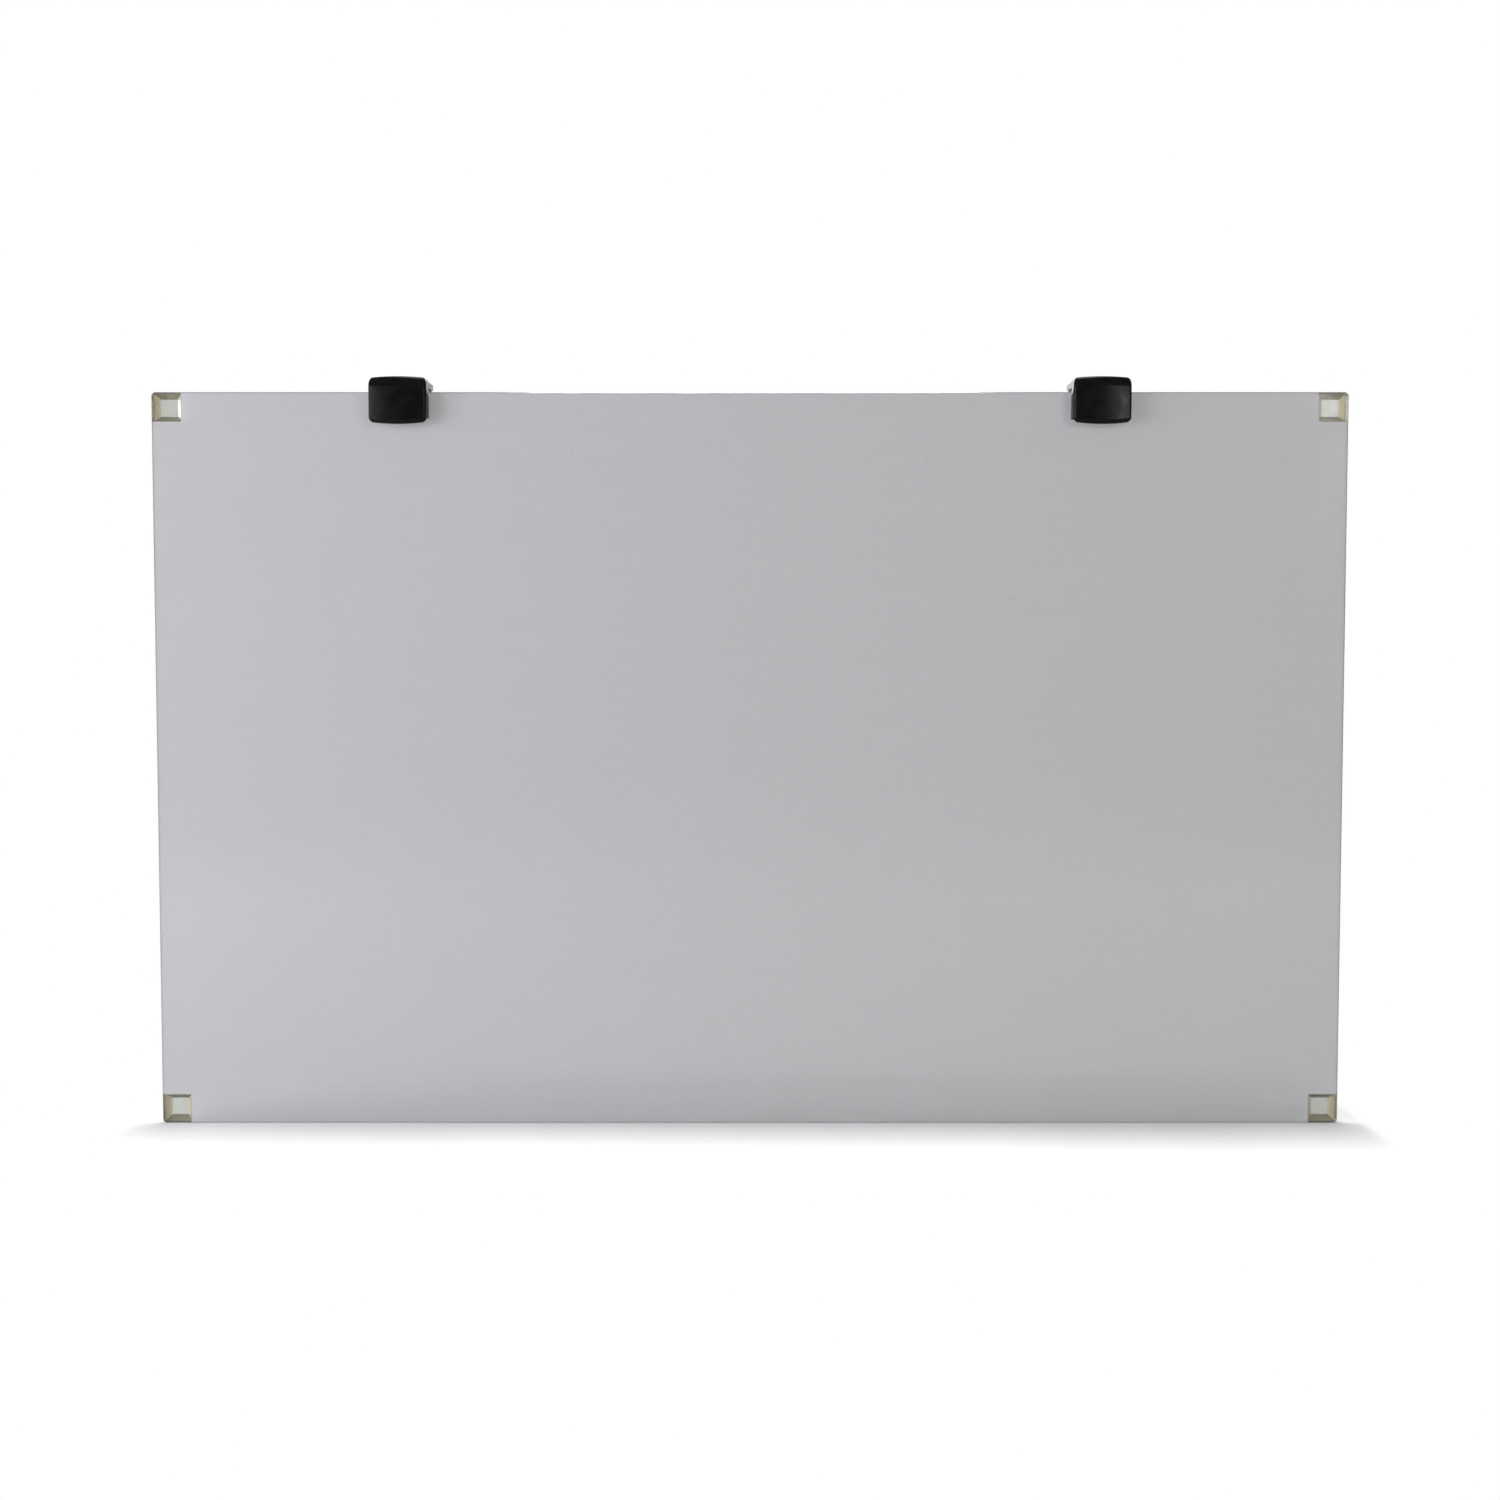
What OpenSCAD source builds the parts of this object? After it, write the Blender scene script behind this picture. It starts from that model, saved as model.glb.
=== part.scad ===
// Hang-on privacy filter for a wide desktop screen.
// The origin is on the monitor's top front edge, halfway along it.
// +X runs to the right, +Y back over the monitor, +Z up. The seat pads rest on Z = 0,
// and the bumpers' tips touch the screen's bezel at Y = 0.

/* [Panel] */
// Width of the filter sheet
panel_w = 520; // [420:1:620]
// Height of the filter sheet
panel_h = 321; // [220:1:400]
// Thickness of the filter sheet
panel_t = 2.5; // [1.5:0.1:4]
// Radius of the sheet's corners
panel_corner_r = 1.8; // [1:0.1:4]
// Width of the fine bevel round both faces
panel_bevel = 0.3; // [0.1:0.05:0.6]

/* [Bumpers] */
// Width of a bumper at its bonded base
bumper_w = 12.7; // [9:0.1:20]
// Width of the flat square at a bumper's tip
bumper_tip_w = 7.4; // [4:0.1:8.5]
// Height of a bumper, which holds the sheet off the bezel
bumper_h = 3.1; // [2.6:0.1:8]
// Radius of a bumper's upright edges
bumper_edge_r = 0.5; // [0.2:0.1:1]

/* [Hanger cap] */
// Distance between the middles of the two hangers
hanger_span = 304; // [200:1:330]
// Width of a cap
cap_w = 25; // [20:0.5:34]
// Height of a cap's roof above the sheet's top edge
cap_rise = 6; // [5.4:0.1:9]
// How far a cap reaches down the sheet's front
cap_drop = 14.5; // [12:0.1:24]
// How far a cap stands out in front of the sheet
cap_depth = 8.5; // [6:0.1:14]
// How far the front bulges at its middle, seen from above
cap_crown = 1.3; // [0.4:0.1:2]
// Radius of the upright edges beside the front
cap_edge_r = 1.4; // [0.6:0.1:2]
// Radius of the four corners, seen from the front
cap_corner_r = 2; // [1:0.1:2.4]
// How far the top edge bows up at its middle
top_bow = 0.5; // [0.2:0.1:1]
// How far the bottom edge bows down at its middle
foot_bow = 1; // [0.3:0.1:2]
// Height of the leaning facet above the front
brow_h = 4; // [2:0.1:5]
// How far that facet leans back
brow_lean = 1.4; // [0.5:0.1:2]
// Height of the narrow facet under the front
foot_h = 1.5; // [0.6:0.1:2.5]
// How far that facet leans back
foot_lean = 0.9; // [0.3:0.1:1.6]
// How far the underside climbs from the front to the sheet
heel_rise = 3.8; // [1:0.1:5]
// Thickness of the cap's walls
cap_wall = 1.2; // [0.8:0.1:1.6]
// Thickness of the roof
roof_t = 1.2; // [0.8:0.1:1.8]
// How far the roof reaches back from the sheet's front face
roof_reach = 4; // [2.5:0.1:8]
// Height of the side notch's lower edge at its front, from the sheet's top edge
notch_front_rise = 0.4; // [-1:0.1:1.5]
// Depth of the side notch's lower edge at the sheet, from the sheet's top edge
notch_back_drop = 1.8; // [0.5:0.1:4]

/* [Hanger clip] */
// Thickness of the tab that lies over the monitor
tab_t = 2.4; // [1.6:0.1:2.6]
// How far the tab reaches back past the bezel
tab_reach = 9.7; // [6:0.1:30]
// Radius of the tab's rear corners, seen from above
tab_corner_r = 2; // [0.5:0.1:4]
// Radius of the tab's upper rear edge
tab_nose_r = 0.9; // [0.3:0.1:1.4]
// How far the shoulders and the tab stay inside the cap's width, each side
clip_inset = 0.2; // [0.05:0.05:0.6]
// How far the shoulders reach over the sheet's top edge
shoulder_lap = 0.6; // [0.2:0.1:1.5]
// Thickness of the leg behind the sheet
leg_t = 1.7; // [1:0.1:2.2]
// Width of the leg
leg_w = 20; // [12:0.5:22]
// How far the leg reaches down the sheet's back
leg_drop = 9; // [5:0.1:14]
// Height of the lead-ins at the foot of the leg and of the front wall
lead_h = 1.6; // [0.5:0.1:3]
// Depth of the lead-ins
lead_d = 0.6; // [0.2:0.1:0.8]
// Thickness of the clip's wall against the sheet's front
front_wall = 1.2; // [0.9:0.1:1.8]
// Thickness of the clip's face inside the cap
clip_face = 1; // [0.7:0.1:1.4]
// Number of pockets cored out of the clip from below
pockets = 3; // [2:1:5]
// Thickness of the ribs beside the pockets
rib_t = 1.2; // [0.8:0.1:1.8]

/* [Seat pad] */
// Thickness of a seat pad
pad_t = 0.8; // [0.4:0.1:1.2]
// How far a pad stays inside the tab's edges
pad_margin = 0.7; // [0.2:0.1:2]
// Radius of a pad's corners
pad_corner_r = 1.2; // [0.4:0.1:2]

/* [Clearances] */
// Gap between the clip's slot and each face of the sheet
panel_gap = 0.1; // [0.05:0.05:0.3]
// Gap between a cap and its clip
cap_gap = 0.15; // [0.05:0.05:0.3]

/* [Hidden] */
$fn = 96;
// Flats along a shallow bow, and round the corner beside it
bow_steps = 24;
corner_steps = 8;
// Facets on the cones that share the crown's axis
crown_fn = 256;
// How far a cutting shape runs past what it cuts
over = 1;

// Depths, along Y
panel_back_y = -bumper_h;
panel_front_y = panel_back_y - panel_t;
cap_back_y = panel_front_y - panel_gap;
cap_front_y = panel_front_y - cap_depth;
cavity_front_y = cap_front_y + cap_crown + cap_wall;
foot_back_y = cap_front_y + foot_lean;
roof_back_y = panel_front_y + roof_reach;
block_front_y = cavity_front_y + cap_gap;
shoulder_back_y = panel_front_y + shoulder_lap;
leg_front_y = panel_back_y + panel_gap;
leg_back_y = leg_front_y + leg_t;

// Heights above the sheet's top edge
roof_under_h = cap_rise - roof_t;
clip_top_h = roof_under_h - cap_gap;
tab_under_h = clip_top_h - tab_t;
pad_under_h = tab_under_h - pad_t;
block_drop = cap_drop - heel_rise - cap_wall - cap_gap;

// The sheet's top edge hangs below the pads' undersides by this much
panel_top_z = -pad_under_h;
panel_mid_z = panel_top_z - panel_h / 2;
panel_bottom_z = panel_top_z - panel_h;

// Widths inside a hanger
cavity_w = cap_w - 2 * cap_wall;
block_w = cavity_w - 2 * cap_gap;
pocket_w = (block_w - (pockets + 1) * rib_t) / pockets;
tab_w = cap_w - 2 * clip_inset;
crown_r = bow_radius(cap_w, cap_crown);

// Radius of an arc that rises by rise over a chord of span
function bow_radius(span, rise) = (span * span / 4 + rise * rise) / (2 * rise);

// Height of the cap's underside at depth y
function heel_h(y) = -cap_drop + heel_rise * (y - foot_back_y) / (cap_back_y - foot_back_y);

// Height of the side notch's lower edge at depth y
function notch_h(y) = notch_front_rise
    - (notch_front_rise + notch_back_drop) * (y - cavity_front_y) / (cap_back_y - cavity_front_y);

// Turns a drawing of Y across and Z up into a solid of the given width, centred on X = 0
module across(width) {
    rotate([90, 0, 90])
        linear_extrude(width, center = true)
            children();
}

// Turns a drawing of X across and Z up into a solid from depth y0 back to depth y1
module backwards(y0, y1) {
    translate([0, y1, 0])
        rotate([90, 0, 0])
            linear_extrude(y1 - y0)
                children();
}

module rounded_rect(w, h, r) {
    square([w - 2 * r, h], center = true);
    square([w, h - 2 * r], center = true);
    for (x = [-1, 1], y = [-1, 1])
        translate([x * (w / 2 - r), y * (h / 2 - r)])
            circle(r);
}

// Points along an arc, from one angle to another
function arc(x, y, r, from, to, steps) = [
    for (i = [0:steps])
        let (a = from + (to - from) * i / steps)
            [x + r * cos(a), y + r * sin(a)]
];

// Points round one end of a strip of width w, from its right side to its left. The end is an arc
// that bows out to y = reach at its middle, and arcs of radius r run smoothly from it into the sides.
function bowed_end(w, reach, bow, r) =
    let (
        bow_r = bow_radius(w, bow),
        bow_y = reach - bow_r,
        corner_x = w / 2 - r,
        corner_y = bow_y + sqrt(pow(bow_r - r, 2) - pow(corner_x, 2)),
        turn = asin(corner_x / (bow_r - r)),
        step = 2 * turn / bow_steps
    )
    concat(
        arc(corner_x, corner_y, r, 0, 90 - turn, corner_steps),
        arc(0, bow_y, bow_r, 90 - turn + step, 90 + turn - step, bow_steps - 2),
        arc(-corner_x, corner_y, r, 90 + turn, 180, corner_steps)
    );

// The same points turned half round and moved along y
function turned(points, y) = [for (p = points) [-p[0], y - p[1]]];

module at_hanger(side) {
    translate([side * hanger_span / 2, 0, panel_top_z])
        children();
}

// The sheet: an edge profile run along both directions, and turned round at the corners
module edge_profile(reach) {
    polygon([
        [0, 0],
        [reach - panel_bevel, 0],
        [reach, panel_bevel],
        [reach, panel_t - panel_bevel],
        [reach - panel_bevel, panel_t],
        [0, panel_t]
    ]);
}

module half_sheet(reach, length) {
    rotate([90, 0, 0])
        linear_extrude(length, center = true)
            edge_profile(reach);
}

module bevelled_sheet() {
    straight_w = panel_w - 2 * panel_corner_r;
    straight_h = panel_h - 2 * panel_corner_r;
    for (turn = [0, 180])
        rotate([0, 0, turn]) {
            half_sheet(panel_w / 2, straight_h);
            rotate([0, 0, 90])
                half_sheet(panel_h / 2, straight_w);
        }
    for (x = [-1, 1], y = [-1, 1])
        translate([x * straight_w / 2, y * straight_h / 2, 0])
            rotate_extrude()
                edge_profile(panel_corner_r);
}

module filter_panel() {
    color([0.72, 0.72, 0.74, 0.6])
        translate([0, panel_back_y, panel_mid_z])
            rotate([90, 0, 0])
                bevelled_sheet();
}

// A square bumper with four sloping sides. Its outer corner follows the sheet's corner.
module bumper_slope() {
    polygon([
        [-bumper_w / 2, 0],
        [bumper_w / 2, 0],
        [bumper_tip_w / 2, bumper_h],
        [-bumper_tip_w / 2, bumper_h]
    ]);
}

module bumper(x_side, z_side) {
    mid_x = x_side * (panel_w - bumper_w) / 2;
    mid_z = panel_mid_z + z_side * (panel_h - bumper_w) / 2;
    color([0.80, 0.80, 0.68, 0.7])
        intersection() {
            translate([mid_x, panel_back_y, mid_z])
                rotate([-90, 0, 0])
                    intersection() {
                        rotate([90, 0, 0])
                            linear_extrude(bumper_w, center = true)
                                bumper_slope();
                        rotate([90, 0, 90])
                            linear_extrude(bumper_w, center = true)
                                bumper_slope();
                        linear_extrude(bumper_h)
                            rounded_rect(bumper_w, bumper_w, bumper_edge_r);
                    }
            translate([0, 0, panel_mid_z])
                backwards(panel_back_y, 0)
                    rounded_rect(panel_w, panel_h, panel_corner_r);
        }
}

// The cap's outline seen from the front: bowed top and bottom edges, round corners
module cap_outline() {
    polygon(concat(
        bowed_end(cap_w, cap_rise, top_bow, cap_corner_r),
        turned(bowed_end(cap_w, cap_drop, foot_bow, cap_corner_r), 0)
    ));
}

// The cap seen from above: a crowned front, and a straight roof edge with round corners
module cap_plan() {
    back_r = min(cap_edge_r, roof_reach / 2);
    back_x = cap_w / 2 - back_r;
    polygon(concat(
        arc(back_x, roof_back_y - back_r, back_r, 0, 90, corner_steps),
        arc(-back_x, roof_back_y - back_r, back_r, 90, 180, corner_steps),
        turned(bowed_end(cap_w, cap_depth, cap_crown, cap_edge_r), panel_front_y)
    ));
}

// The cap's section from front to back: body, sloping underside, and roof with a round nose
module cap_side() {
    polygon([
        [cap_front_y, -cap_drop],
        [foot_back_y, -cap_drop],
        [cap_back_y, heel_h(cap_back_y)],
        [cap_back_y, roof_under_h],
        [roof_back_y - roof_t / 2, roof_under_h],
        [roof_back_y - roof_t / 2, cap_rise],
        [cap_front_y, cap_rise]
    ]);
    translate([roof_back_y - roof_t / 2, cap_rise - roof_t / 2])
        circle(roof_t / 2);
}

// Two cones about the crown's own axis lean the brow and the foot back from the front
module crown_facets() {
    brow_slope = brow_lean / brow_h;
    foot_slope = foot_lean / foot_h;
    cap_h = cap_rise + cap_drop;
    translate([0, cap_front_y + crown_r, 0])
        intersection() {
            translate([0, 0, -cap_drop - over])
                cylinder(
                    h = cap_h + 2 * over,
                    r1 = crown_r - brow_lean + brow_slope * (cap_h + over),
                    r2 = crown_r - brow_lean - brow_slope * over,
                    $fn = crown_fn
                );
            translate([0, 0, -cap_drop - over])
                cylinder(
                    h = cap_h + 2 * over,
                    r1 = crown_r - foot_lean - foot_slope * over,
                    r2 = crown_r - foot_lean + foot_slope * (cap_h + over),
                    $fn = crown_fn
                );
        }
}

// What is hollow inside the cap, open towards the sheet
module cap_cavity() {
    open_y = cap_back_y + over;
    polygon([
        [cavity_front_y, heel_h(cavity_front_y) + cap_wall],
        [open_y, heel_h(open_y) + cap_wall],
        [open_y, roof_under_h],
        [cavity_front_y, roof_under_h]
    ]);
}

// The opening in each side, above a line that falls towards the sheet
module cap_notch() {
    open_y = cap_back_y + over;
    polygon([
        [cavity_front_y, notch_h(cavity_front_y)],
        [open_y, notch_h(open_y)],
        [open_y, roof_under_h],
        [cavity_front_y, roof_under_h]
    ]);
}

module hanger_cap(side) {
    color([0.06, 0.06, 0.065])
        at_hanger(side)
            difference() {
                intersection() {
                    across(cap_w)
                        cap_side();
                    backwards(cap_front_y, roof_back_y)
                        cap_outline();
                    translate([0, 0, -cap_drop])
                        linear_extrude(cap_rise + cap_drop)
                            cap_plan();
                    crown_facets();
                }
                across(cavity_w)
                    cap_cavity();
                across(cap_w + 2 * over)
                    cap_notch();
            }
}

// The clip's front block inside the cap, and its neck over the sheet's top edge
module clip_core() {
    polygon([
        [block_front_y, -block_drop],
        [cap_back_y - lead_d, -block_drop],
        [cap_back_y, -block_drop + lead_h],
        [cap_back_y, panel_gap],
        [leg_back_y, panel_gap],
        [leg_back_y, clip_top_h],
        [block_front_y, clip_top_h]
    ]);
}

// The shoulders that fill the cap's side notches and lap over the sheet's edge
module clip_shoulder() {
    polygon([
        [block_front_y, notch_h(block_front_y) + cap_gap],
        [cap_back_y, notch_h(cap_back_y) + cap_gap],
        [cap_back_y, panel_gap],
        [shoulder_back_y, panel_gap],
        [shoulder_back_y, clip_top_h],
        [block_front_y, clip_top_h]
    ]);
}

// The leg behind the sheet, with a lead-in that helps it over the sheet's edge
module clip_leg() {
    polygon([
        [leg_front_y, panel_gap],
        [leg_front_y, -leg_drop + lead_h],
        [leg_front_y + lead_d, -leg_drop],
        [leg_back_y, -leg_drop],
        [leg_back_y, panel_gap]
    ]);
}

module tab_side() {
    nose_y = tab_reach - tab_nose_r;
    translate([leg_back_y, tab_under_h])
        square([nose_y - leg_back_y, tab_t]);
    translate([leg_back_y, tab_under_h])
        square([tab_reach - leg_back_y, tab_t - tab_nose_r]);
    translate([nose_y, clip_top_h - tab_nose_r])
        circle(tab_nose_r);
}

module clip_tab() {
    intersection() {
        across(tab_w)
            tab_side();
        translate([0, (tab_reach + panel_front_y) / 2, tab_under_h])
            linear_extrude(tab_t)
                rounded_rect(tab_w, tab_reach - panel_front_y, tab_corner_r);
    }
}

// Pockets cored out of the block from below, up to the plate that carries the tab
module clip_pockets() {
    front_y = block_front_y + clip_face;
    back_y = cap_back_y - front_wall;
    for (i = [0:pockets - 1])
        translate([-block_w / 2 + rib_t + i * (pocket_w + rib_t), front_y, -block_drop - over])
            cube([pocket_w, back_y - front_y, block_drop + over + tab_under_h]);
}

module hanger_clip(side) {
    color([0.78, 0.78, 0.80, 0.8])
        at_hanger(side) {
            difference() {
                union() {
                    across(block_w)
                        clip_core();
                    across(tab_w)
                        clip_shoulder();
                }
                clip_pockets();
            }
            across(leg_w)
                clip_leg();
            clip_tab();
        }
}

module seat_pad(side) {
    front_y = leg_back_y + pad_margin;
    back_y = tab_reach - pad_margin;
    color([0.25, 0.25, 0.26])
        at_hanger(side)
            translate([0, (front_y + back_y) / 2, pad_under_h])
                linear_extrude(pad_t)
                    rounded_rect(tab_w - 2 * pad_margin, back_y - front_y, pad_corner_r);
}

filter_panel();
bumper(-1, 1);  // bumper_top_left
bumper(1, 1);  // bumper_top_right
bumper(-1, -1);  // bumper_bottom_left
bumper(1, -1);  // bumper_bottom_right
hanger_cap(-1);  // hanger_cap_left
hanger_cap(1);  // hanger_cap_right
hanger_clip(-1);  // hanger_clip_left
hanger_clip(1);  // hanger_clip_right
seat_pad(-1);  // seat_pad_left
seat_pad(1);  // seat_pad_right
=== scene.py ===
"""The looks of a hang-on privacy filter for a desktop screen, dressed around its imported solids.

Metres throughout. The origin is on the monitor's top front edge, +X runs right, +Y back over the
monitor and +Z up. The sheet and the seat pads keep their solids' places, and every new piece
takes its size and place from the solid that it stands for.
"""

import math

import bmesh
import bpy
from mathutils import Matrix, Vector


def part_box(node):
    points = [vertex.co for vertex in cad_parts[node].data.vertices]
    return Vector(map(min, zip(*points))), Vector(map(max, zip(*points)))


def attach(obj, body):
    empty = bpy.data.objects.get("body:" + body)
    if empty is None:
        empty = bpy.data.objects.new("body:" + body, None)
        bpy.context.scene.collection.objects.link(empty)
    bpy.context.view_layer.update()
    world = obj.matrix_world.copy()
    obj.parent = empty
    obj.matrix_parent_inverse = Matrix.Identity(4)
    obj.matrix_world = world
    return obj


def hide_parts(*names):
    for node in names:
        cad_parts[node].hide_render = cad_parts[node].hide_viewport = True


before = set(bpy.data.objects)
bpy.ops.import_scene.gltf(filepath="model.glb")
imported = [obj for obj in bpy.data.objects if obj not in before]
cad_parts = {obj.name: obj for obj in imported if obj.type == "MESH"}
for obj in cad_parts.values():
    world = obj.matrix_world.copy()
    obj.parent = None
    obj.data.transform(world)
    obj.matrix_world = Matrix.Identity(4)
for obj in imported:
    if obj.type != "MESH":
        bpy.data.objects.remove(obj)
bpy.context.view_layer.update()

MM = 0.001
SIDES = {"left": -1, "right": 1}

# Photograph: a square frame, and the camera's place worked out from the sheet's four corners
PHOTO_SIZE_PX = 1500
FOCAL_LENGTH_PX = 1939
SENSOR_WIDTH_MM = 36
CAMERA_DISTANCE = 850 * MM
CAMERA_PITCH = math.radians(3.07)
AIM_BELOW_SHEET_TOP = 155.6 * MM

# Cap: how its front is crowned, bowed and leaned, and what is hollow behind it
CAP_CROWN = 1.3 * MM
CAP_TOP_BOW = 0.5 * MM
CAP_FOOT_BOW = 1.0 * MM
CAP_CORNER_R = 2.0 * MM
CAP_FRONT_R = 1.1 * MM
CAP_BROW_HEIGHT = 4.0 * MM
CAP_BROW_LEAN = 1.4 * MM
CAP_FOOT_HEIGHT = 1.5 * MM
CAP_FOOT_LEAN = 0.9 * MM
CAP_HEEL_RISE = 3.8 * MM
CAP_DROP = 14.5 * MM
CAP_WALL = 1.2 * MM
CAVITY_CORNER_CUT = 2.6 * MM
CAP_NOTCH_FRONT_RISE = 0.4 * MM
CAP_NOTCH_BACK_DROP = 1.8 * MM
CAP_GAP_TO_SHEET = 0.1 * MM
CAP_NOSE_R = 0.5 * MM
CAP_EDGE_R = 0.25 * MM
CAP_COLUMN_PITCH = 1.4 * MM
CAP_FACE_DEPTH = 3.0 * MM
CAP_SHARP_TURN = math.radians(50)
CREASE_HALF_WIDTH = 0.3 * MM

# Bumper: the flat square at its tip, its moulded edges, and its gap behind the sheet
BUMPER_TIP_WIDTH = 7.4 * MM
BUMPER_TIP_EDGE_R = 0.12 * MM
BUMPER_FLANK_EDGE_R = 0.5 * MM
BUMPER_OUTER_CORNER_R = 1.8 * MM
BOND_GAP = 0.02 * MM

# Moulded edges of the clips and the pads
CLIP_EDGE_R = 0.2 * MM
PAD_EDGE_R = 0.18 * MM

# Sheet: how much light goes through it, its smoky tint, how little of it shows where a bumper
# is bonded, and the dust on it
SMOKE_CLEARNESS = 0.60
SMOKE_DARK = (0.490, 0.490, 0.505)
SMOKE_PALE = (0.496, 0.496, 0.511)
BONDED_CLEARNESS = 0.98
BONDED_ALPHA = 0.15
SPECK_CELLS_PER_METRE = 26
SPECK_RADIUS = 0.28 * MM
SPECK_SHARE = 0.05

# Tolerances: points this close are one, cutters reach this far past a piece, faces this square
# to an axis are flat, and rounds whose faces turn by less than this are shaded smoothly
TINY = 0.01 * MM
CUTTER_PAST = 1 * MM
FLAT_FACE_SHARE = 0.85
SMOOTH_TURN = math.radians(45)


def open_cube(name, low, high):
    """Adds a cube that fills a box, with its place in its mesh, and leaves it in edit mode."""
    bpy.ops.object.select_all(action="DESELECT")
    bpy.ops.mesh.primitive_cube_add(size=1, location=(low + high) / 2, scale=high - low)
    piece = bpy.context.object
    piece.name = name
    bpy.ops.object.transform_apply(location=True, rotation=False, scale=True)
    bpy.ops.object.mode_set(mode="EDIT")
    return piece


def pick(piece, kind, test):
    """Selects the vertices, edges or faces that pass a test, and nothing else, in edit mode."""
    modes = (kind == "verts", kind == "edges", kind == "faces")
    bpy.context.tool_settings.mesh_select_mode = modes
    bpy.ops.mesh.select_all(action="DESELECT")
    mesh = bmesh.from_edit_mesh(piece.data)
    for item in getattr(mesh, kind):
        item.select_set(test(item))
    mesh.select_flush_mode()
    bmesh.update_edit_mesh(piece.data)


def middle_of(edge):
    """The point halfway along an edge."""
    return (edge.verts[0].co + edge.verts[1].co) / 2


def runs_along(edge, axis):
    """Whether an edge is parallel to the X, Y or Z axis, which is 0, 1 or 2."""
    run = edge.verts[1].co - edge.verts[0].co
    return abs(run[axis]) > run.length - TINY


def slice_at(axis, place):
    """Cuts the whole mesh across at one place along an axis, so that it can bend there."""
    plane_point = Vector((0, 0, 0))
    plane_point[axis] = place
    plane_normal = Vector((0, 0, 0))
    plane_normal[axis] = 1
    bpy.ops.mesh.select_all(action="SELECT")
    bpy.ops.mesh.bisect(plane_co=plane_point, plane_no=plane_normal, threshold=TINY / 2)


def levels_of(piece, axis, test):
    """The different places along an axis of the vertices that pass a test."""
    mesh = bmesh.from_edit_mesh(piece.data)
    return sorted({round(v.co[axis], 7) for v in mesh.verts if test(v.co)})


def move_levels(piece, axis, test, move):
    """Moves the tested vertices one level along the axis at a time, by what move gives for it."""
    for level in levels_of(piece, axis, test):
        shift = move(level)
        if shift.length < TINY / 10:
            continue
        pick(piece, "verts", lambda v: abs(v.co[axis] - level) < TINY / 20 and test(v.co))
        bpy.ops.transform.translate(value=shift)


def close_piece(piece):
    """Leaves edit mode, with every face turned outwards."""
    bpy.ops.mesh.select_all(action="SELECT")
    bpy.ops.mesh.remove_doubles(threshold=TINY / 2)
    bpy.ops.mesh.normals_make_consistent(inside=False)
    bpy.ops.object.mode_set(mode="OBJECT")


def select_only(piece):
    """Makes one object the selected and active one."""
    bpy.ops.object.select_all(action="DESELECT")
    piece.select_set(True)
    bpy.context.view_layer.objects.active = piece


def cut_away(piece, low, high, bottom_back_z=None, front_corner_cut=None):
    """Cuts a box out of a piece. The box's lower rear edge may be moved to another height,
    and its four front corners may be cut off, so that they stay inside a rounded front."""
    cutter = open_cube("cutter", Vector(low), Vector(high))
    if bottom_back_z is not None:
        pick(cutter, "verts", lambda v: v.co.y > high[1] - TINY and v.co.z < low[2] + TINY)
        bpy.ops.transform.translate(value=(0, 0, bottom_back_z - low[2]))
    if front_corner_cut is not None:
        pick(cutter, "verts", lambda v: v.co.y < low[1] + TINY)
        bpy.ops.mesh.bevel(offset=front_corner_cut, offset_pct=0, segments=1, affect="VERTICES")
    bpy.ops.object.mode_set(mode="OBJECT")
    select_only(piece)
    cut = piece.modifiers.new("cut", "BOOLEAN")
    cut.operation = "DIFFERENCE"
    cut.solver = "MANIFOLD"
    cut.object = cutter
    bpy.ops.object.modifier_apply(modifier=cut.name)
    bpy.data.objects.remove(cutter)


def soften_edges(piece, width, segments=3, angle=32):
    """Rounds the sharp edges of a piece all over."""
    select_only(piece)
    bevel = piece.modifiers.new("moulded_edges", "BEVEL")
    bevel.width = width
    bevel.segments = segments
    bevel.limit_method = "ANGLE"
    bevel.angle_limit = math.radians(angle)
    bevel.use_clamp_overlap = True
    bpy.ops.object.modifier_apply(modifier=bevel.name)
    shade_between_edges(piece)


def shade_between_edges(piece):
    """Shades the rounds smoothly and keeps the flat faces flat."""
    select_only(piece)
    bpy.ops.object.shade_smooth_by_angle(angle=SMOOTH_TURN)
    weighted = piece.modifiers.new("flat_faces_stay_flat", "WEIGHTED_NORMAL")
    weighted.keep_sharp = True
    bpy.ops.object.modifier_apply(modifier=weighted.name)


def dress(piece, node, slot, *materials):
    """Puts a finished piece in the place of its solid, with its materials as its finish; the slot
    argument is not used.
    """
    piece.data.materials.clear()
    for material in materials:
        piece.data.materials.append(material)
    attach(piece, "root")
    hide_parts(node)
    return piece


# Materials


def node_adder(tree):
    """A function that adds a node to a tree, with socket values and settings by their names."""

    def add(kind, **settings):
        node = tree.nodes.new(kind)
        for key, value in settings.items():
            if key in node.inputs:
                node.inputs[key].default_value = value
            else:
                setattr(node, key, value)
        return node

    return add


def new_material(name):
    """A material, with a function that links its nodes, its shader and its node adder."""
    material = bpy.data.materials.new(name)
    material.use_nodes = True
    tree = material.node_tree
    return material, tree.links.new, tree.nodes["Principled BSDF"], node_adder(tree)


def stretched_coordinates(add, link, scale):
    """Object coordinates, squeezed or stretched along each axis."""
    place = add("ShaderNodeTexCoord")
    mapping = add("ShaderNodeMapping", Scale=scale)
    link(place.outputs["Object"], mapping.inputs["Vector"])
    return mapping.outputs["Vector"]


def noise_value(add, link, scale, size, detail=3.0, roughness=0.55):
    """Noise in object coordinates with the given cells per metre."""
    noise = add("ShaderNodeTexNoise", Scale=size, Detail=detail, Roughness=roughness)
    link(stretched_coordinates(add, link, scale), noise.inputs["Vector"])
    return noise.outputs["Fac"]


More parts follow.
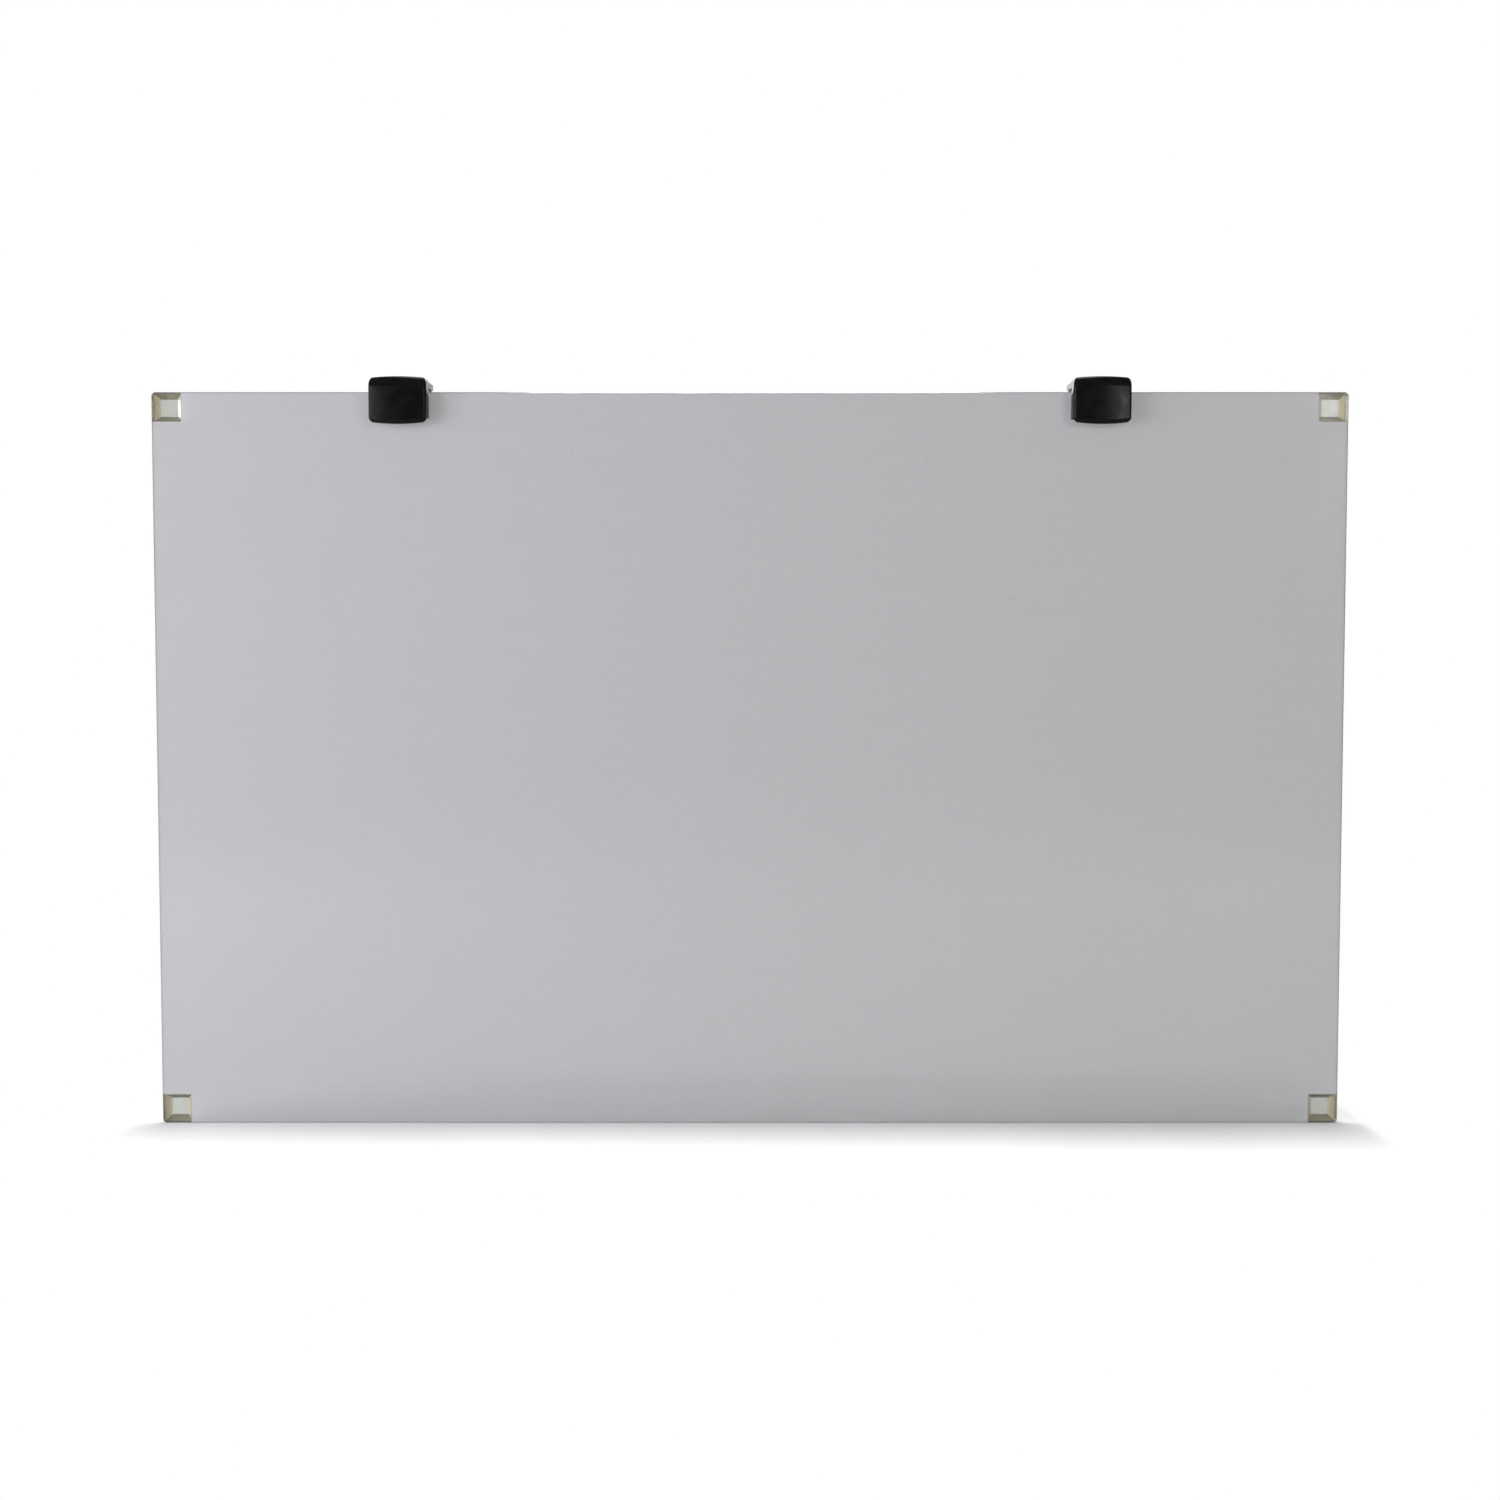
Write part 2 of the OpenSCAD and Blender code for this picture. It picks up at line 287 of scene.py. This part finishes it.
def remap(add, link, value, low_in, high_in, low_out, high_out):
    """Maps one range of a value smoothly onto another."""
    node = add("ShaderNodeMapRange", interpolation_type="SMOOTHSTEP")
    node.inputs["From Min"].default_value = low_in
    node.inputs["From Max"].default_value = high_in
    node.inputs["To Min"].default_value = low_out
    node.inputs["To Max"].default_value = high_out
    link(value, node.inputs["Value"])
    return node.outputs["Result"]


def blend_colours(add, link, factor, first, second):
    """Mixes two colours, each a tuple or a socket, by a factor socket."""
    node = add("ShaderNodeMix", data_type="RGBA")
    for name, colour in (("A", first), ("B", second)):
        socket = next(s for s in node.inputs if s.name == name and s.type == "RGBA")
        if isinstance(colour, tuple):
            socket.default_value = (*colour, 1)
        else:
            link(colour, socket)
    link(factor, node.inputs[0])
    return next(s for s in node.outputs if s.type == "RGBA")


def bump(add, link, shader, height, strength, distance):
    """Raises the surface by a height socket."""
    node = add("ShaderNodeBump", Strength=strength, Distance=distance)
    link(height, node.inputs["Height"])
    link(node.outputs["Normal"], shader.inputs["Normal"])


def number(add, link, operation, first, second=None):
    """Works out one value from a socket and a number or another socket."""
    node = add("ShaderNodeMath", operation=operation)
    link(first, node.inputs[0])
    if isinstance(second, (int, float)):
        node.inputs[1].default_value = second
    elif second is not None:
        link(second, node.inputs[1])
    return node.outputs[0]


def bonded_corners(add, link):
    """1 on the four squares of the sheet that a bumper is bonded to, and 0 elsewhere."""
    sheet_low, sheet_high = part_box("filter_panel")
    inner_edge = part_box("bumper_top_right")[0]
    middle = (sheet_low + sheet_high) / 2
    place = add("ShaderNodeTexCoord")
    from_middle = add("ShaderNodeVectorMath", operation="SUBTRACT")
    from_middle.inputs[1].default_value = middle
    link(place.outputs["Object"], from_middle.inputs[0])
    apart = add("ShaderNodeSeparateXYZ")
    link(from_middle.outputs["Vector"], apart.inputs["Vector"])
    out_x = number(add, link, "ABSOLUTE", apart.outputs["X"])
    out_z = number(add, link, "ABSOLUTE", apart.outputs["Z"])
    past_x = number(add, link, "GREATER_THAN", out_x, inner_edge.x - middle.x)
    past_z = number(add, link, "GREATER_THAN", out_z, inner_edge.z - middle.z)
    return number(add, link, "MULTIPLY", past_x, past_z)


def dust_specks(add, link):
    """1 on a few dark specks, each a fraction of a millimetre across, scattered over the sheet."""
    cells = add("ShaderNodeTexVoronoi", voronoi_dimensions="2D", Scale=SPECK_CELLS_PER_METRE)
    place = add("ShaderNodeTexCoord")
    faced = add("ShaderNodeMapping", Rotation=(math.radians(90), 0, 0))
    link(place.outputs["Object"], faced.inputs["Vector"])
    link(faced.outputs["Vector"], cells.inputs["Vector"])
    reach = SPECK_RADIUS * SPECK_CELLS_PER_METRE
    spot = remap(add, link, cells.outputs["Distance"], reach * 0.5, reach, 1, 0)
    lottery = add("ShaderNodeSeparateColor")
    link(cells.outputs["Color"], lottery.inputs["Color"])
    chosen = number(add, link, "GREATER_THAN", lottery.outputs["Red"], 1 - SPECK_SHARE)
    return number(add, link, "MULTIPLY", spot, chosen)


def smoked_acrylic():
    """The sheet: smoky acrylic with a satin haze, which the bond of each bumper wets clear."""
    material, link, shader, add = new_material("smoked_acrylic")
    shader.inputs["IOR"].default_value = 1.49
    shader.inputs["Specular IOR Level"].default_value = 0.4

    grain = noise_value(add, link, (5, 5, 420), 1.0, detail=4.0)
    smoke = blend_colours(add, link, remap(add, link, grain, 0.3, 0.7, 0, 1), SMOKE_DARK, SMOKE_PALE)
    dusty = blend_colours(add, link, dust_specks(add, link), smoke, (0.10, 0.10, 0.11))

    facing = add("ShaderNodeTexCoord")
    parts = add("ShaderNodeSeparateXYZ")
    link(facing.outputs["Normal"], parts.inputs["Vector"])
    flatness = number(add, link, "ABSOLUTE", parts.outputs["Y"])
    face_share = remap(add, link, flatness, 0.80, 0.95, 0, 1)
    edged = blend_colours(add, link, face_share, (0.24, 0.25, 0.26), dusty)

    bonded = number(add, link, "MULTIPLY", bonded_corners(add, link), face_share)
    colour = blend_colours(add, link, bonded, edged, (0.97, 0.97, 0.97))
    link(colour, shader.inputs["Base Color"])
    clearness = remap(add, link, bonded, 0, 1, SMOKE_CLEARNESS, BONDED_CLEARNESS)
    link(clearness, shader.inputs["Transmission Weight"])
    link(remap(add, link, bonded, 0, 1, 1.0, BONDED_ALPHA), shader.inputs["Alpha"])

    cloud = noise_value(add, link, (1, 1, 1), 35.0)
    link(remap(add, link, cloud, 0.3, 0.7, 0.07, 0.12), shader.inputs["Roughness"])
    peel = noise_value(add, link, (1, 1, 1), 900.0, detail=2.0)
    bump(add, link, shader, peel, 0.04, 0.02 * MM)
    return material


def clear_rubber():
    """A bumper's tip: clear polyurethane, a little yellowed, with a few tiny bubbles."""
    material, link, shader, add = new_material("clear_rubber")
    shader.inputs["Transmission Weight"].default_value = 0.88
    shader.inputs["IOR"].default_value = 1.45
    cloud = noise_value(add, link, (1, 1, 1), 420.0)
    tint = blend_colours(
        add, link, remap(add, link, cloud, 0.3, 0.7, 0, 1), (0.235, 0.235, 0.212), (0.265, 0.265, 0.24)
    )
    bubbles = add("ShaderNodeTexVoronoi", Scale=330.0)
    link(stretched_coordinates(add, link, (1, 1, 1)), bubbles.inputs["Vector"])
    bubble = remap(add, link, bubbles.outputs["Distance"], 0.06, 0.12, 1, 0)
    link(blend_colours(add, link, bubble, tint, (0.16, 0.16, 0.135)), shader.inputs["Base Color"])
    link(remap(add, link, cloud, 0.3, 0.7, 0.05, 0.12), shader.inputs["Roughness"])
    ripples = noise_value(add, link, (1, 1, 1), 700.0, detail=2.0)
    bump(add, link, shader, ripples, 0.1, 0.03 * MM)
    return material


def bonded_base():
    """A bumper's base, which its bond joins to the sheet so that hardly a surface is left."""
    material, link, shader, add = new_material("bonded_base")
    shader.inputs["Alpha"].default_value = 0.06
    shader.inputs["Roughness"].default_value = 0.1
    film = noise_value(add, link, (1, 1, 1), 300.0)
    film_tint = blend_colours(add, link, film, (0.80, 0.80, 0.70), (0.90, 0.90, 0.82))
    link(film_tint, shader.inputs["Base Color"])
    return material


def out_from_bumper(add, link):
    """How far a point is out from the axis of its bumper, as a share of the bumper's half width."""
    sheet_low, sheet_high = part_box("filter_panel")
    bumper_low, bumper_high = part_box("bumper_top_right")
    sheet_middle = (sheet_low + sheet_high) / 2
    bumper_middle = (bumper_low + bumper_high) / 2
    place = add("ShaderNodeTexCoord")
    apart = add("ShaderNodeSeparateXYZ")
    link(place.outputs["Object"], apart.inputs["Vector"])
    shares = []
    for axis, name in ((0, "X"), (2, "Z")):
        half_w = (bumper_high[axis] - bumper_low[axis]) / 2
        from_middle = number(add, link, "SUBTRACT", apart.outputs[name], sheet_middle[axis])
        out = number(add, link, "ABSOLUTE", from_middle)
        out = number(add, link, "SUBTRACT", out, bumper_middle[axis] - sheet_middle[axis])
        out = number(add, link, "ABSOLUTE", out)
        shares.append(number(add, link, "DIVIDE", out, half_w))
    return number(add, link, "MAXIMUM", shares[0], shares[1])


def rubber_flank(name, by_tip, between, by_base):
    """A bumper's slope: the rubber's own yellowish tint, with painted highlight and painted shade in
    bands from its tip to its base.
    """
    material, link, shader, add = new_material(name)
    shader.inputs["Transmission Weight"].default_value = 0.25
    shader.inputs["IOR"].default_value = 1.45
    out = out_from_bumper(add, link)
    # The bands are painted highlight and painted shade, standing in for light bent through the clear
    # rubber.
    inner = blend_colours(add, link, remap(add, link, out, 0.66, 0.74, 0, 1), by_tip, between)
    banded = blend_colours(add, link, remap(add, link, out, 0.82, 0.93, 0, 1), inner, by_base)
    cloud = noise_value(add, link, (1, 1, 1), 650.0)
    patchy = remap(add, link, cloud, 0.35, 0.65, 0.0, 0.35)
    link(blend_colours(add, link, patchy, banded, between), shader.inputs["Base Color"])
    link(remap(add, link, cloud, 0.3, 0.7, 0.14, 0.26), shader.inputs["Roughness"])
    ripples = noise_value(add, link, (1, 1, 1), 1400.0, detail=2.0)
    bump(add, link, shader, ripples, 0.15, 0.04 * MM)
    return material


def satin_black_plastic():
    """The caps: black moulded plastic with a fine spark-eroded grain and a satin gloss."""
    material, link, shader, add = new_material("satin_black_plastic")
    shader.inputs["Specular IOR Level"].default_value = 0.10
    cloud = noise_value(add, link, (1, 1, 1), 260.0)
    link(
        blend_colours(
            add,
            link,
            remap(add, link, cloud, 0.3, 0.7, 0, 1),
            (0.0012, 0.0012, 0.0015),
            (0.0024, 0.0024, 0.0029),
        ),
        shader.inputs["Base Color"],
    )
    link(remap(add, link, cloud, 0.3, 0.7, 0.30, 0.38), shader.inputs["Roughness"])
    grain = noise_value(add, link, (1, 1, 1), 5200.0, detail=2.0)
    bump(add, link, shader, grain, 0.16, 0.03 * MM)
    return material


def milky_clip_plastic():
    """The clips: light natural moulded plastic that lets some light through."""
    material, link, shader, add = new_material("milky_clip_plastic")
    shader.inputs["Transmission Weight"].default_value = 0.12
    shader.inputs["IOR"].default_value = 1.5
    shader.inputs["Subsurface Weight"].default_value = 0.25
    shader.inputs["Subsurface Radius"].default_value = (1.0, 1.0, 1.0)
    shader.inputs["Subsurface Scale"].default_value = 0.8 * MM
    flow = noise_value(add, link, (60, 300, 300), 1.0)
    link(
        blend_colours(
            add,
            link,
            remap(add, link, flow, 0.3, 0.7, 0, 1),
            (0.61, 0.61, 0.645),
            (0.65, 0.65, 0.685),
        ),
        shader.inputs["Base Color"],
    )
    link(remap(add, link, flow, 0.3, 0.7, 0.30, 0.38), shader.inputs["Roughness"])
    grain = noise_value(add, link, (1, 1, 1), 2600.0, detail=2.0)
    bump(add, link, shader, grain, 0.06, 0.03 * MM)
    return material


def closed_cell_foam():
    """The seat pads: dark closed-cell foam with fine pits, each darkened by painted shade."""
    material, link, shader, add = new_material("closed_cell_foam")
    shader.inputs["Roughness"].default_value = 0.85
    shader.inputs["Sheen Weight"].default_value = 0.25
    cells = add("ShaderNodeTexVoronoi", Scale=2400.0)
    link(stretched_coordinates(add, link, (1, 1, 1)), cells.inputs["Vector"])
    pit = remap(add, link, cells.outputs["Distance"], 0.1, 0.5, 0, 1)
    # The colour is darker towards each pit's bottom: painted shade in the hollows that the bump makes.
    link(
        blend_colours(add, link, pit, (0.022, 0.022, 0.026), (0.055, 0.055, 0.06)),
        shader.inputs["Base Color"],
    )
    bump(add, link, shader, pit, 0.6, 0.08 * MM)
    return material


# Pieces


def model_cap(side_name):
    """A cap: a rounded block, cut into columns and rows, crowned and leaned, and then hollowed."""
    node = "hanger_cap_" + side_name
    low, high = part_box(node)
    middle_x = (low.x + high.x) / 2
    half_w = (high.x - low.x) / 2
    sheet_top = low.z + CAP_DROP
    body_back_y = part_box("filter_panel")[0].y - CAP_GAP_TO_SHEET
    depth_split = low.y + CAP_FACE_DEPTH
    height_split = (low.z + high.z) / 2

    def bow(x, rise):
        """How far an arc over the cap's width has fallen from its middle at x."""
        radius = (half_w**2 + rise**2) / (2 * rise)
        return radius - math.sqrt(radius**2 - min(abs(x - middle_x), half_w) ** 2)

    cap = open_cube("cap_" + side_name, low, high)
    pick(cap, "edges", lambda e: runs_along(e, 1))
    bpy.ops.mesh.bevel(offset=CAP_CORNER_R, offset_pct=0, segments=6, affect="EDGES")
    pick(cap, "edges", lambda e: all(v.co.y < low.y + TINY for v in e.verts))
    bpy.ops.mesh.bevel(offset=CAP_FRONT_R, offset_pct=0, segments=4, affect="EDGES")

    columns = int((half_w - CAP_CORNER_R) / CAP_COLUMN_PITCH)
    for step in range(-columns, columns + 1):
        slice_at(0, middle_x + step * CAP_COLUMN_PITCH)
    brow_line = high.z - CAP_BROW_HEIGHT
    foot_line = low.z + CAP_FOOT_HEIGHT
    for line in (brow_line, foot_line):
        slice_at(2, line - CREASE_HALF_WIDTH)
        slice_at(2, line + CREASE_HALF_WIDTH)

    def brow(z):
        return Vector((0, CAP_BROW_LEAN * (z - brow_line) / CAP_BROW_HEIGHT, 0))

    def foot(z):
        return Vector((0, CAP_FOOT_LEAN * (foot_line - z) / CAP_FOOT_HEIGHT, 0))

    def in_front(co):
        return co.y < depth_split

    move_levels(cap, 2, lambda co: in_front(co) and co.z > brow_line, brow)
    move_levels(cap, 2, lambda co: in_front(co) and co.z < foot_line, foot)
    move_levels(cap, 0, in_front, lambda x: Vector((0, bow(x, CAP_CROWN), 0)))
    heel_length = body_back_y - low.y - CAP_FOOT_LEAN
    heel_slope = CAP_HEEL_RISE / heel_length
    heel_shift = heel_slope * (high.y - low.y - CAP_FOOT_LEAN)
    pick(cap, "verts", lambda v: v.co.y > high.y - TINY and v.co.z < foot_line)
    bpy.ops.transform.translate(value=(0, 0, heel_shift))
    move_levels(
        cap, 0, lambda co: co.z > height_split, lambda x: Vector((0, 0, -bow(x, CAP_TOP_BOW)))
    )
    move_levels(
        cap, 0, lambda co: co.z < height_split, lambda x: Vector((0, 0, bow(x, CAP_FOOT_BOW)))
    )
    close_piece(cap)

    cavity_front = low.y + CAP_CROWN + CAP_WALL
    cavity_half_w = half_w - CAP_WALL
    roof_under = high.z - CAP_WALL
    open_y = high.y + CUTTER_PAST
    cavity_floor = low.z + CAP_WALL + heel_slope * (cavity_front - low.y - CAP_FOOT_LEAN)
    cut_away(
        cap,
        (middle_x - cavity_half_w, cavity_front, cavity_floor),
        (middle_x + cavity_half_w, open_y, roof_under),
        bottom_back_z=cavity_floor + heel_slope * (open_y - cavity_front),
        front_corner_cut=CAVITY_CORNER_CUT,
    )
    notch_front = sheet_top + CAP_NOTCH_FRONT_RISE
    notch_slope = (CAP_NOTCH_FRONT_RISE + CAP_NOTCH_BACK_DROP) / (body_back_y - cavity_front)
    cut_away(
        cap,
        (low.x - CUTTER_PAST, cavity_front, notch_front),
        (high.x + CUTTER_PAST, open_y, roof_under),
        bottom_back_z=notch_front - notch_slope * (open_y - cavity_front),
    )
    cut_away(
        cap,
        (low.x - CUTTER_PAST, body_back_y, low.z - CUTTER_PAST),
        (high.x + CUTTER_PAST, open_y, roof_under),
    )
    bpy.ops.object.mode_set(mode="EDIT")
    pick(
        cap,
        "edges",
        lambda e: all(v.co.y > high.y - TINY for v in e.verts)
        and abs(e.verts[0].co.x - e.verts[1].co.x) > abs(e.verts[0].co.z - e.verts[1].co.z),
    )
    bpy.ops.mesh.bevel(offset=CAP_NOSE_R, offset_pct=0, segments=4, affect="EDGES")
    pick(
        cap,
        "edges",
        lambda e: all(v.co.y > depth_split for v in e.verts)
        and len(e.link_faces) == 2
        and e.calc_face_angle() > CAP_SHARP_TURN,
    )
    bpy.ops.mesh.bevel(
        offset=CAP_EDGE_R, offset_pct=0, segments=3, affect="EDGES", clamp_overlap=True
    )
    bpy.ops.object.mode_set(mode="OBJECT")
    shade_between_edges(cap)
    return dress(cap, node, "black_cap", black_plastic)


def model_bumper(level, side_name):
    """A bumper: a square block with round upright edges, cut back on four slopes to its tip."""
    node = "bumper_" + level + "_" + side_name
    low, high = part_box(node)
    low.y += BOND_GAP
    middle = (low + high) / 2
    half_w = (high.x - low.x) / 2
    rise = high.y - low.y
    draw_in = half_w - BUMPER_TIP_WIDTH / 2
    outwards = Vector((SIDES[side_name], 0, 1 if level == "top" else -1))

    bumper = open_cube("clear_" + node, low, high)

    def is_outer(edge):
        return (middle_of(edge) - middle).dot(outwards) > half_w * 1.5

    pick(bumper, "edges", lambda e: runs_along(e, 1) and is_outer(e))
    bpy.ops.mesh.bevel(offset=BUMPER_OUTER_CORNER_R, offset_pct=0, segments=6, affect="EDGES")
    pick(
        bumper,
        "edges",
        lambda e: runs_along(e, 1)
        and not is_outer(e)
        and e.calc_face_angle() > math.radians(60),
    )
    bpy.ops.mesh.bevel(offset=BUMPER_FLANK_EDGE_R, offset_pct=0, segments=3, affect="EDGES")
    for across in (Vector((1, 0, 0)), Vector((-1, 0, 0)), Vector((0, 0, 1)), Vector((0, 0, -1))):
        base_point = middle + across * half_w
        base_point.y = low.y
        slope_normal = (across * rise + Vector((0, draw_in, 0))).normalized()
        bpy.ops.mesh.select_all(action="SELECT")
        bpy.ops.mesh.bisect(
            plane_co=base_point,
            plane_no=slope_normal,
            use_fill=True,
            clear_outer=True,
            threshold=TINY / 2,
        )
    close_piece(bumper)
    soften_edges(bumper, BUMPER_TIP_EDGE_R)
    dress(bumper, node, "clear_bumper", clear_tip, flank_painted_shade, flank_painted_highlight, rubber_base)
    # The top and bottom slopes get the copy painted in shade, and the side slopes get the copy painted
    # with a highlight by the tip.
    for face in bumper.data.polygons:
        if face.normal.y > FLAT_FACE_SHARE:
            face.material_index = 0
        elif face.normal.y < -FLAT_FACE_SHARE:
            face.material_index = 3
        elif abs(face.normal.x) > abs(face.normal.z):
            face.material_index = 2
        else:
            face.material_index = 1
    return bumper


def soft_copy(node, name, edge_r, slot, material):
    """A copy of a moulded solid with its thin facets merged and its edges rounded."""
    piece = bpy.data.objects.new(name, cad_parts[node].data.copy())
    bpy.context.scene.collection.objects.link(piece)
    select_only(piece)
    bpy.ops.object.mode_set(mode="EDIT")
    bpy.ops.mesh.select_all(action="SELECT")
    bpy.ops.mesh.remove_doubles(threshold=TINY)
    bpy.ops.mesh.dissolve_limited(angle_limit=math.radians(1))
    bpy.ops.object.mode_set(mode="OBJECT")
    soften_edges(piece, edge_r)
    return dress(piece, node, slot, material)


sheet_finish = smoked_acrylic()
clear_tip = clear_rubber()
# Two copies of one rubber for the slopes: one painted in shade, darkest by the tip, and one painted
# lit, with a painted highlight by the tip.
flank_painted_shade = rubber_flank(
    "rubber_flank_painted_shade", (0.070, 0.070, 0.040), (0.135, 0.120, 0.058), (0.150, 0.138, 0.080)
)
flank_painted_highlight = rubber_flank(
    "rubber_flank_painted_highlight", (0.46, 0.41, 0.25), (0.38, 0.32, 0.165), (0.21, 0.185, 0.105)
)
rubber_base = bonded_base()
black_plastic = satin_black_plastic()
clip_plastic = milky_clip_plastic()
pad_foam = closed_cell_foam()

sheet_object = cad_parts["filter_panel"]
sheet_object.data.materials.clear()
sheet_object.data.materials.append(sheet_finish)
for side in SIDES:
    model_cap(side)
    soft_copy("hanger_clip_" + side, "clip_" + side, CLIP_EDGE_R, "translucent_clip", clip_plastic)
    soft_copy("seat_pad_" + side, "pad_" + side, PAD_EDGE_R, "seat_foam", pad_foam)
    for height in ("top", "bottom"):
        model_bumper(height, side)


# Floor, background, lights and camera

sheet_low, sheet_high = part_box("filter_panel")

# Floor: shaded near the object, white from a little further out, and grey where it only sends
# light back. Its shaded part ends sooner at the sheet's sides, by this factor.
FLOOR_SIZE = 6.0
FLOOR_SHADED_REACH = 60 * MM
FLOOR_WHITE_REACH = 120 * MM
FLOOR_SIDE_FALLOFF = 8
FLOOR_SHADED_WHITE = 0.84
FLOOR_GREY = 0.72

# Room: how brightly the background lights the object
ROOM_LEVEL = 0.32


def seen_directly(add, link):
    """1 for rays from the camera, and for those that a clear piece sends on."""
    path = add("ShaderNodeLightPath")
    return number(
        add, link, "MAXIMUM", path.outputs["Is Camera Ray"], path.outputs["Is Transmission Ray"]
    )


def make_floor():
    """A pale floor that keeps the shadow near the object and is plain white beyond it."""
    bpy.ops.object.select_all(action="DESELECT")
    bpy.ops.mesh.primitive_plane_add(size=FLOOR_SIZE, location=(0, 0, sheet_low.z))
    floor = bpy.context.object
    floor.name = "floor"
    bpy.ops.object.transform_apply(location=True, rotation=False, scale=False)

    material, link, shader, add = new_material("pale_floor")
    tree = material.node_tree
    tree.nodes.remove(shader)
    output = tree.nodes["Material Output"]
    shaded = add("ShaderNodeBsdfDiffuse", Color=(FLOOR_SHADED_WHITE,) * 3 + (1,))
    white = add("ShaderNodeEmission", Color=(1, 1, 1, 1), Strength=1.0)

    place = add("ShaderNodeTexCoord")
    apart = add("ShaderNodeSeparateXYZ")
    link(place.outputs["Object"], apart.inputs["Vector"])
    past_side = number(add, link, "ABSOLUTE", apart.outputs["X"])
    past_side = number(add, link, "SUBTRACT", past_side, sheet_high.x)
    past_side = number(add, link, "MAXIMUM", past_side, 0.0)
    past_side = number(add, link, "MULTIPLY", past_side, FLOOR_SIDE_FALLOFF)
    reach = add("ShaderNodeCombineXYZ")
    link(past_side, reach.inputs["X"])
    link(apart.outputs["Y"], reach.inputs["Y"])
    length = add("ShaderNodeVectorMath", operation="LENGTH")
    link(reach.outputs["Vector"], length.inputs[0])
    away = remap(
        add, link, length.outputs["Value"], FLOOR_SHADED_REACH, FLOOR_WHITE_REACH, 0, 1
    )
    shown = add("ShaderNodeMixShader")
    link(away, shown.inputs[0])
    link(shaded.outputs[0], shown.inputs[1])
    link(white.outputs[0], shown.inputs[2])

    plain = add("ShaderNodeBsdfDiffuse", Color=(FLOOR_GREY,) * 3 + (1,))
    both = add("ShaderNodeMixShader")
    link(seen_directly(add, link), both.inputs[0])
    link(plain.outputs[0], both.inputs[1])
    link(shown.outputs[0], both.inputs[2])
    link(both.outputs[0], output.inputs["Surface"])
    floor.data.materials.append(material)


def make_background():
    """White where it is seen, and a plain even level where it lights the object."""
    world = bpy.data.worlds.new("white_room")
    world.use_nodes = True
    bpy.context.scene.world = world
    tree = world.node_tree
    link = tree.links.new
    add = node_adder(tree)
    room = tree.nodes["Background"]
    room.inputs["Color"].default_value = (1, 1, 1, 1)
    room.inputs["Strength"].default_value = ROOM_LEVEL
    white = add("ShaderNodeBackground", Color=(1, 1, 1, 1), Strength=1.0)
    both = add("ShaderNodeMixShader")
    link(seen_directly(add, link), both.inputs[0])
    link(room.outputs[0], both.inputs[1])
    link(white.outputs[0], both.inputs[2])
    link(both.outputs[0], tree.nodes["World Output"].inputs["Surface"])


def softbox(name, target, azimuth, elevation, distance, size, watts, colour):
    """A rectangular lamp that looks at a target from a direction. Azimuth 0 is in front."""
    turn, lift = math.radians(azimuth), math.radians(elevation)
    back = Vector(
        (
            math.sin(turn) * math.cos(lift),
            -math.cos(turn) * math.cos(lift),
            math.sin(lift),
        )
    )
    lamp = bpy.data.lights.new(name, "AREA")
    lamp.shape = "RECTANGLE"
    lamp.size, lamp.size_y = size
    lamp.energy = watts
    lamp.color = colour
    lamp_object = bpy.data.objects.new(name, lamp)
    bpy.context.scene.collection.objects.link(lamp_object)
    lamp_object.location = target + back * distance
    lamp_object.rotation_euler = (-back).to_track_quat("-Z", "Y").to_euler()


def make_camera():
    """The photograph's view, a little above the horizontal and straight in front."""
    camera = bpy.data.cameras.new("photo_view")
    camera.sensor_width = SENSOR_WIDTH_MM
    camera.lens = FOCAL_LENGTH_PX / PHOTO_SIZE_PX * SENSOR_WIDTH_MM
    camera_object = bpy.data.objects.new("photo_view", camera)
    bpy.context.scene.collection.objects.link(camera_object)
    aim = Vector((0, sheet_low.y, sheet_high.z - AIM_BELOW_SHEET_TOP))
    back = Vector((0, -math.cos(CAMERA_PITCH), math.sin(CAMERA_PITCH)))
    camera_object.location = aim + back * CAMERA_DISTANCE
    camera_object.rotation_euler = (-back).to_track_quat("-Z", "Y").to_euler()
    bpy.context.scene.camera = camera_object


make_floor()
make_background()
sheet_middle = (sheet_low + sheet_high) / 2
softbox(
    "key_left",
    sheet_middle,
    azimuth=-57,
    elevation=3,
    distance=1.15,
    size=(0.7, 0.7),
    watts=18,
    colour=(0.94, 0.97, 1.0),
)
softbox(
    "strip_right",
    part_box("hanger_cap_right")[1],
    azimuth=28,
    elevation=7,
    distance=1.2,
    size=(0.13, 0.2),
    watts=4.2,
    colour=(1.0, 0.96, 0.92),
)
softbox(
    "overhead",
    sheet_middle,
    azimuth=180,
    elevation=86,
    distance=2.5,
    size=(0.7, 0.35),
    watts=46,
    colour=(1.0, 1.0, 1.0),
)
make_camera()

view = bpy.context.scene.view_settings
view.view_transform = "Standard"
